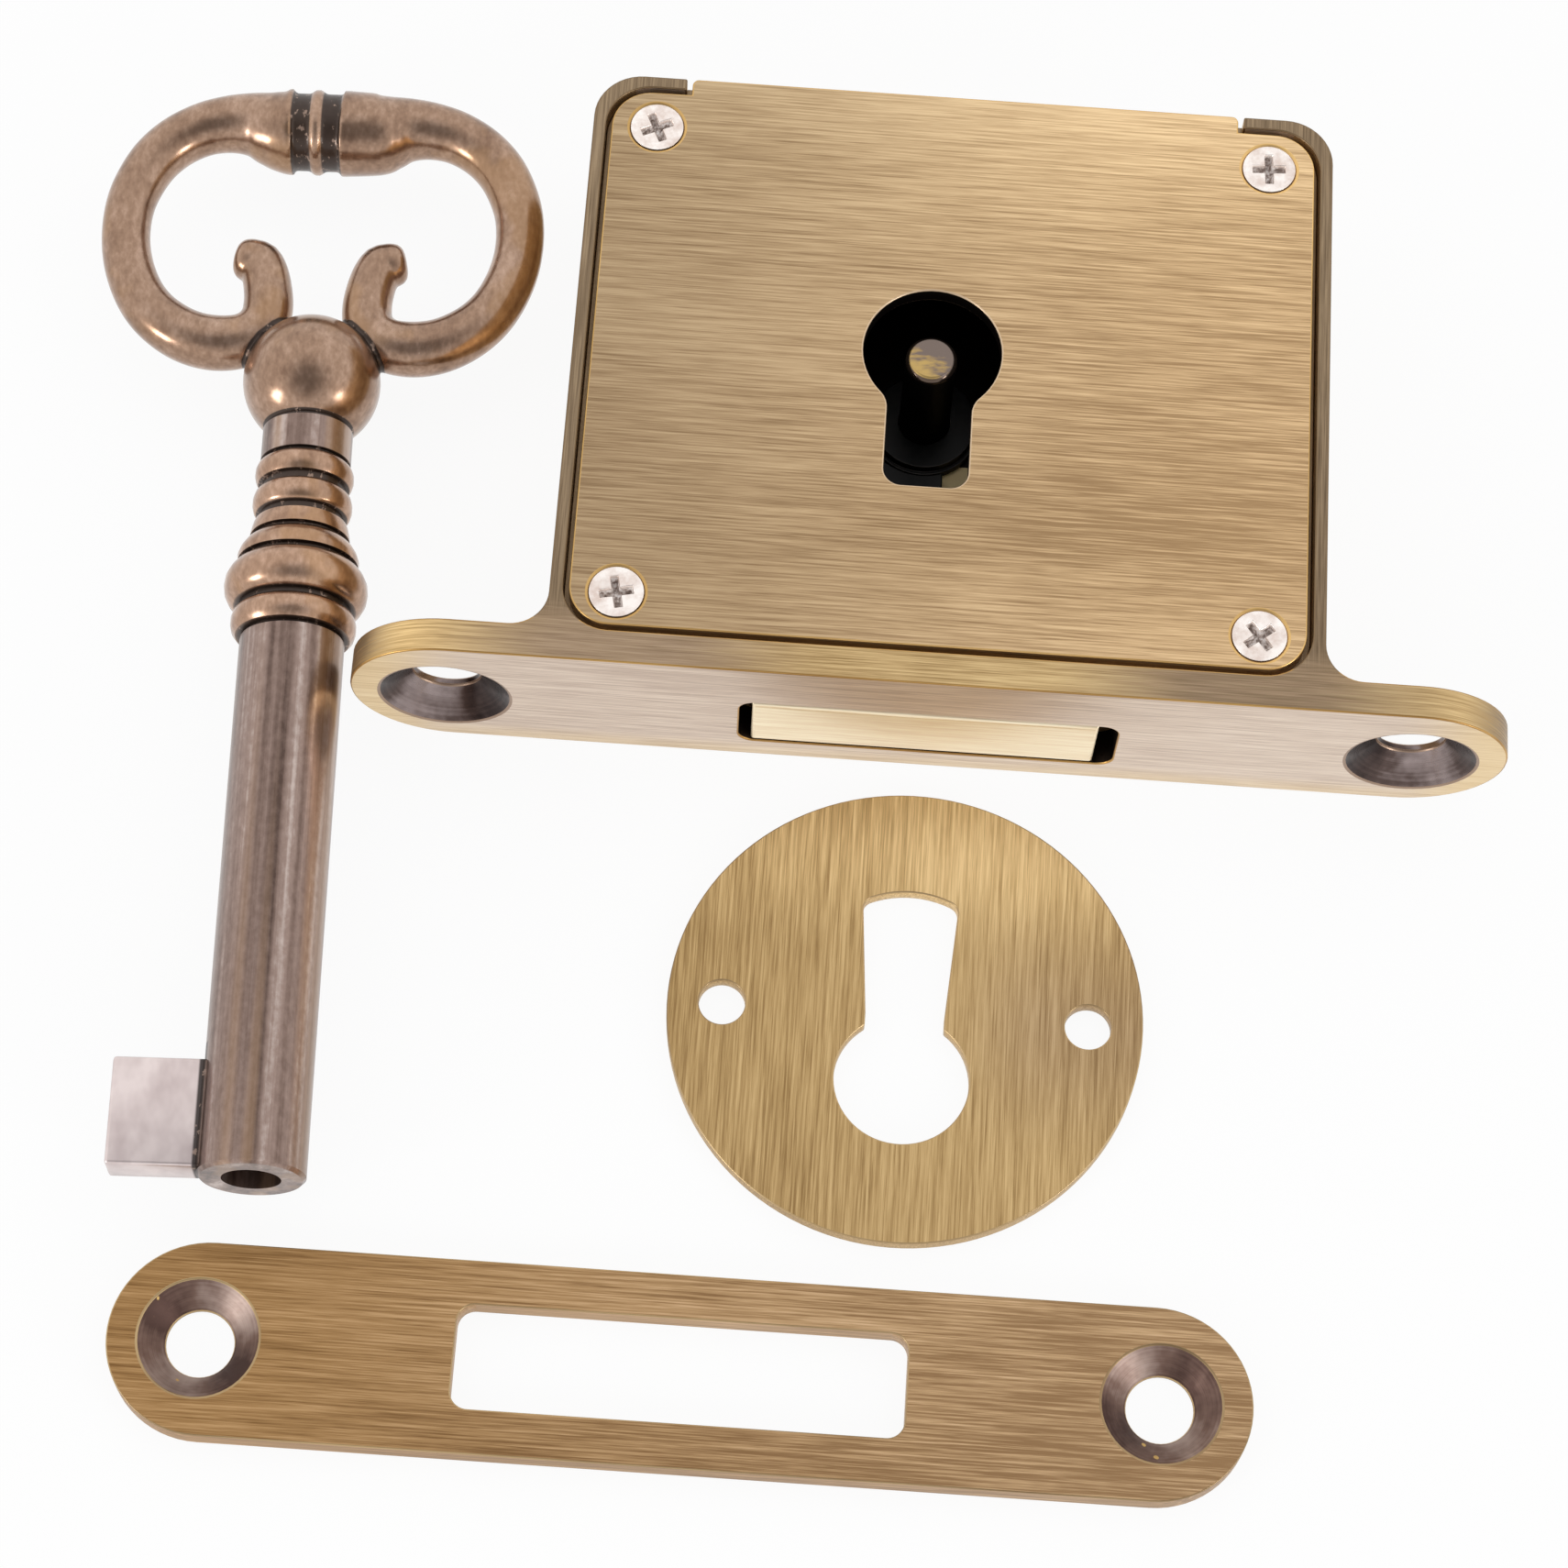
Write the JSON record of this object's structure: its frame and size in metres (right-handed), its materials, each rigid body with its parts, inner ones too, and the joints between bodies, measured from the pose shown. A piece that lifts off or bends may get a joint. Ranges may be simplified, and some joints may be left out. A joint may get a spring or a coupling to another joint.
{
  "type": "drawer lock",
  "caption": "Mortise drawer lock with sliding bolt, lever works and screwed cover, shown with its hollow-barrel key, round key escutcheon and strike plate.",
  "frame": {"origin": "on the drill pin's axis at the back face of the case", "axes": "+X along the forend, +Y from the forend's outer face into the drawer, +Z from the case's back to its cover"},
  "size_m": [0.0892, 0.0878, 0.012],
  "materials": {
    "case_bronze": "brushed antique bronze over die-cast metal",
    "cover_bronze": "brushed antique bronze plate",
    "screw_nickel": "bright nickel plate",
    "pin_steel": "turned steel",
    "black_steel": "blackened steel",
    "bolt_brass": "brushed pale brass",
    "spring_steel": "blued spring steel",
    "key_copper": "antique copper with dark hollows",
    "escutcheon_bronze": "brushed antique bronze sheet",
    "strike_bronze": "brushed antique bronze plate"
  },
  "bodies": {
    "lock": {"lock_case": "case_bronze", "cover_plate": "cover_bronze", "cover_screws": "screw_nickel", "drill_pin": "pin_steel", "key_guide_disc": "black_steel", "guide_post": "pin_steel", "lever_post": "pin_steel", "lever_sleeve": "pin_steel"},
    "bolt": {"bolt_head": "bolt_brass", "bolt_tail": "black_steel", "tail_rivets": "pin_steel", "bolt_stump": "pin_steel"},
    "lever_1": {"lever_1": "black_steel", "lever_spring_1": "spring_steel"},
    "lever_2": {"lever_2": "black_steel", "lever_spring_2": "spring_steel"},
    "key": {"key": "key_copper"},
    "escutcheon": {"escutcheon": "escutcheon_bronze"},
    "strike_plate": {"strike_plate": "strike_bronze"}
  },
  "joints": [
    {"name": "bolt_slide", "type": "slide", "parent": "lock", "child": "bolt", "axis": [0, -1, 0], "range_m": [0, 0.007]},
    {"name": "lever_1_swing", "type": "hinge", "parent": "lock", "child": "lever_1", "pos_m": [0.0186, 0.0085, 0.00585], "axis": [0, 0, 1], "range_deg": [0, 6], "deforming": ["lever_spring_1"]},
    {"name": "lever_2_swing", "type": "hinge", "parent": "lock", "child": "lever_2", "pos_m": [0.0186, 0.0085, 0.00755], "axis": [0, 0, 1], "range_deg": [0, 6], "deforming": ["lever_spring_2"]},
    {"name": "key_lift", "type": "slide", "parent": "lock", "child": "key", "axis": [0, 0, 1], "range_m": [0, 0.04]},
    {"name": "escutcheon_lift", "type": "slide", "parent": "lock", "child": "escutcheon", "axis": [0, 0, 1], "range_m": [0, 0.04]},
    {"name": "strike_plate_lift", "type": "slide", "parent": "lock", "child": "strike_plate", "axis": [0, 0, 1], "range_m": [0, 0.04]}
  ],
  "couplings": [
    {"joint": "lever_1_swing", "follows": "bolt_slide", "rad_per_m": 14.95},
    {"joint": "lever_2_swing", "follows": "bolt_slide", "rad_per_m": 14.95}
  ]
}
